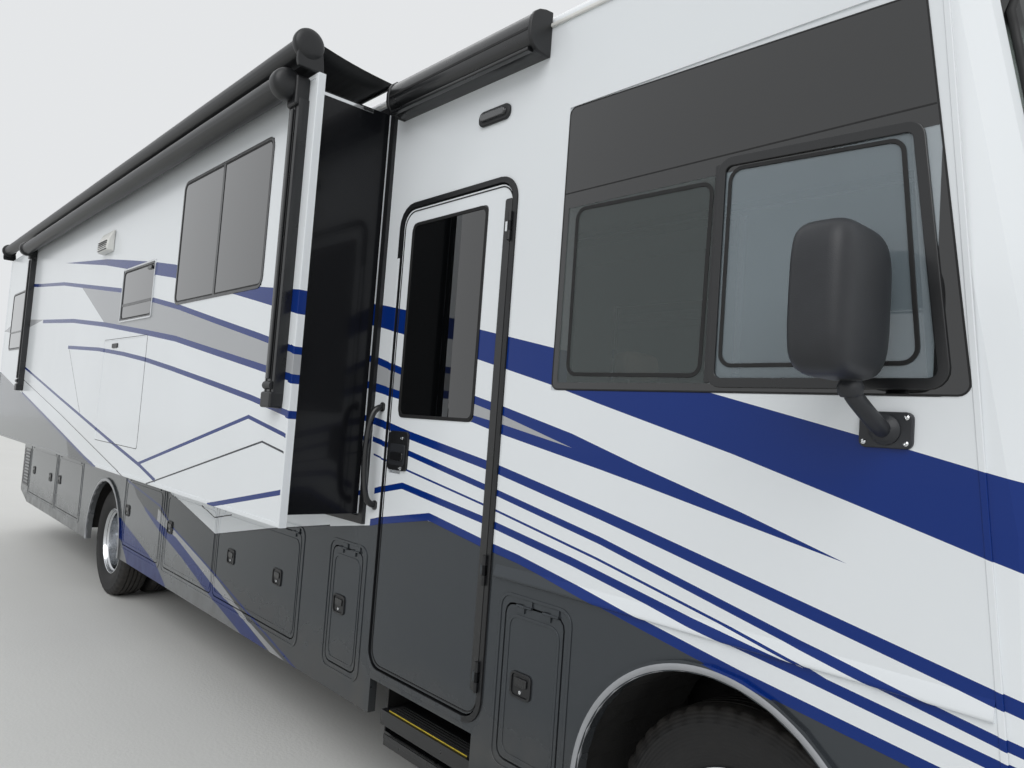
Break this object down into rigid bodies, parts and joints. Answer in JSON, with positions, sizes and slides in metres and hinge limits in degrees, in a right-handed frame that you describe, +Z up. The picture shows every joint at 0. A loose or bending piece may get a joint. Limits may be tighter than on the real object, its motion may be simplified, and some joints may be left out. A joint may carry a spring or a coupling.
{
  "type": "large motorhome with slide-out rooms",
  "caption": "Large box-shaped motorhome on twin rear wheels, with slide-out rooms, storage bay doors, an entry door with a step, awnings and steered front wheels.",
  "frame": {"origin": "on the ground, below the middle of the overall box", "axes": "+X forward, +Y to the driver's side, +Z up"},
  "size_m": [11.8389, 3.763, 3.8603],
  "materials": {
    "white_gelcoat": "gel-coated fibreglass panels",
    "grey_lower_paint": "dark grey metallic lower panels with blue and silver stripes",
    "black_trim": "black coated trim",
    "chassis_steel": "black painted frame steel",
    "engine_iron": "plain cast block",
    "exhaust_steel": "dull aluminised tube",
    "tank_plastic": "rotational moulded tanks",
    "tinted_glass": "dark tinted panes",
    "lamp_lens": "moulded lamp lenses",
    "plywood_floor": "sealed floor panel",
    "coated_steel": "black undercoated sheet steel",
    "forged_steel": "plain forged steering parts",
    "black_aluminium": "black powder-coated aluminium",
    "white_moulding": "white roof shrouds",
    "mirror_shell": "black moulded mirror shells",
    "cab_plastic": "dark soft-touch moulding",
    "seat_leather": "tan covers",
    "tyre_rubber": "black tread rubber",
    "wheel_aluminium": "polished rims"
  },
  "bodies": {
    "coach": {"axles": "chassis_steel", "cab_seats": "seat_leather", "chassis_frame": "chassis_steel", "dashboard": "cab_plastic", "door_awning": "black_aluminium", "engine_block": "engine_iron", "exhaust": "exhaust_steel", "floor": "plywood_floor", "front_cap": "white_gelcoat", "grille": "black_trim", "hand_rails": "black_aluminium", "lamps": "lamp_lens", "left_skirt": "grey_lower_paint", "left_wall": "white_gelcoat", "mirrors": "mirror_shell", "opening_trims": "black_trim", "rear_bumper": "chassis_steel", "rear_cap": "white_gelcoat", "right_skirt": "grey_lower_paint", "right_wall": "white_gelcoat", "roof": "white_gelcoat", "roof_units": "white_moulding", "side_glass": "tinted_glass", "storage_trays": "coated_steel", "tanks": "tank_plastic", "wheelhouses": "coated_steel", "windscreen": "tinted_glass"},
    "knuckle_left": {"left_knuckle": "forged_steel"},
    "knuckle_right": {"right_knuckle": "forged_steel"},
    "tie_rod": {"tie_rod": "forged_steel"},
    "front_wheel_left": {"front_left_rim": "wheel_aluminium", "front_left_tyre": "tyre_rubber"},
    "rear_wheels_left": {"rear_left_rims": "wheel_aluminium", "rear_left_tyres": "tyre_rubber"},
    "front_wheel_right": {"front_right_rim": "wheel_aluminium", "front_right_tyre": "tyre_rubber"},
    "rear_wheels_right": {"rear_right_rims": "wheel_aluminium", "rear_right_tyres": "tyre_rubber"},
    "steering_wheel": {"steering_wheel": "cab_plastic"},
    "entry_door": {"entry_door": "white_gelcoat", "entry_door_glass": "tinted_glass"},
    "entry_step": {"entry_step": "black_trim"},
    "slide_right": {"right_slide_room": "white_gelcoat", "right_slide_glass": "tinted_glass", "right_awnings": "black_aluminium"},
    "slide_left": {"left_slide_room": "white_gelcoat", "left_slide_glass": "tinted_glass", "left_topper": "black_aluminium"},
    "bay_door_right_1": {"bay_door_right_1": "grey_lower_paint"},
    "bay_door_right_2": {"bay_door_right_2": "grey_lower_paint"},
    "bay_door_right_3": {"bay_door_right_3": "grey_lower_paint"},
    "bay_door_right_4": {"bay_door_right_4": "grey_lower_paint"},
    "bay_door_right_5": {"bay_door_right_5": "grey_lower_paint"},
    "bay_door_right_6": {"bay_door_right_6": "grey_lower_paint"},
    "bay_door_right_7": {"bay_door_right_7": "grey_lower_paint"},
    "bay_door_left_1": {"bay_door_left_1": "grey_lower_paint"},
    "bay_door_left_2": {"bay_door_left_2": "grey_lower_paint"},
    "bay_door_left_3": {"bay_door_left_3": "grey_lower_paint"}
  },
  "joints": [
    {"name": "steer_left", "type": "hinge", "parent": "coach", "child": "knuckle_left", "pos_m": [4.77, 0.85, 0.49], "axis": [0, 0, 1], "range_deg": [-35, 35]},
    {"name": "steer_right", "type": "hinge", "parent": "coach", "child": "knuckle_right", "pos_m": [4.77, -0.85, 0.49], "axis": [0, 0, 1], "range_deg": [-35.01, 35.01]},
    {"name": "tie_rod_pivot", "type": "hinge", "parent": "knuckle_left", "child": "tie_rod", "pos_m": [4.58, 0.85, 0.372], "axis": [0, 0, 1], "range_deg": [-35.01, 35.01]},
    {"name": "steering_wheel_turn", "type": "hinge", "parent": "coach", "child": "steering_wheel", "pos_m": [4.79, 0.69, 1.83], "axis": [-0.6428, 0, 0.766], "range_deg": [-540.1, 540.1]},
    {"name": "front_left_spin", "type": "hinge", "parent": "knuckle_left", "child": "front_wheel_left", "pos_m": [4.77, 0.965, 0.49], "axis": [0, 1, 0], "continuous": true},
    {"name": "rear_left_spin", "type": "hinge", "parent": "coach", "child": "rear_wheels_left", "pos_m": [-1.73, 0.9425, 0.49], "axis": [0, 1, 0], "continuous": true},
    {"name": "front_right_spin", "type": "hinge", "parent": "knuckle_right", "child": "front_wheel_right", "pos_m": [4.77, -0.965, 0.49], "axis": [0, 1, 0], "continuous": true},
    {"name": "rear_right_spin", "type": "hinge", "parent": "coach", "child": "rear_wheels_right", "pos_m": [-1.73, -0.9425, 0.49], "axis": [0, 1, 0], "continuous": true},
    {"name": "entry_door_hinge", "type": "hinge", "parent": "coach", "child": "entry_door", "pos_m": [3.717, -1.2965, 1.7], "axis": [0, 0, 1], "range_deg": [0, 90]},
    {"name": "entry_step_slide", "type": "slide", "parent": "coach", "child": "entry_step", "axis": [0, -1, 0], "range_m": [0, 0.25]},
    {"name": "slide_right_travel", "type": "slide", "parent": "coach", "child": "slide_right", "axis": [0, 1, 0], "range_m": [0, 0.39]},
    {"name": "slide_left_travel", "type": "slide", "parent": "coach", "child": "slide_left", "axis": [0, -1, 0], "range_m": [0, 0.39]},
    {"name": "bay_door_right_1_hinge", "type": "hinge", "parent": "coach", "child": "bay_door_right_1", "pos_m": [4.005, -1.2885, 1.146], "axis": [-1, 0, 0], "range_deg": [0, 90]},
    {"name": "bay_door_right_2_hinge", "type": "hinge", "parent": "coach", "child": "bay_door_right_2", "pos_m": [2.645, -1.2885, 1.146], "axis": [-1, 0, 0], "range_deg": [0, 90]},
    {"name": "bay_door_right_3_hinge", "type": "hinge", "parent": "coach", "child": "bay_door_right_3", "pos_m": [1.5525, -1.2885, 1.146], "axis": [-1, 0, 0], "range_deg": [0, 90]},
    {"name": "bay_door_right_4_hinge", "type": "hinge", "parent": "coach", "child": "bay_door_right_4", "pos_m": [0.4375, -1.2885, 1.146], "axis": [-1, 0, 0], "range_deg": [0, 90]},
    {"name": "bay_door_right_5_hinge", "type": "hinge", "parent": "coach", "child": "bay_door_right_5", "pos_m": [-0.645, -1.2885, 1.146], "axis": [-1, 0, 0], "range_deg": [0, 90]},
    {"name": "bay_door_right_6_hinge", "type": "hinge", "parent": "coach", "child": "bay_door_right_6", "pos_m": [-3.195, -1.2885, 1.146], "axis": [-1, 0, 0], "range_deg": [0, 90]},
    {"name": "bay_door_right_7_hinge", "type": "hinge", "parent": "coach", "child": "bay_door_right_7", "pos_m": [-4.525, -1.2885, 1.146], "axis": [-1, 0, 0], "range_deg": [0, 90]},
    {"name": "bay_door_left_1_hinge", "type": "hinge", "parent": "coach", "child": "bay_door_left_1", "pos_m": [3.2, 1.2885, 1.146], "axis": [1, 0, 0], "range_deg": [0, 90]},
    {"name": "bay_door_left_2_hinge", "type": "hinge", "parent": "coach", "child": "bay_door_left_2", "pos_m": [-0.1375, 1.2885, 1.146], "axis": [1, 0, 0], "range_deg": [0, 90]},
    {"name": "bay_door_left_3_hinge", "type": "hinge", "parent": "coach", "child": "bay_door_left_3", "pos_m": [-4.525, 1.2885, 1.146], "axis": [1, 0, 0], "range_deg": [0, 90]}
  ],
  "couplings": [
    {"joint": "steer_right", "follows": "steer_left", "ratio": 1},
    {"joint": "tie_rod_pivot", "follows": "steer_left", "ratio": -1},
    {"joint": "steering_wheel_turn", "follows": "steer_left", "ratio": 15.43}
  ]
}
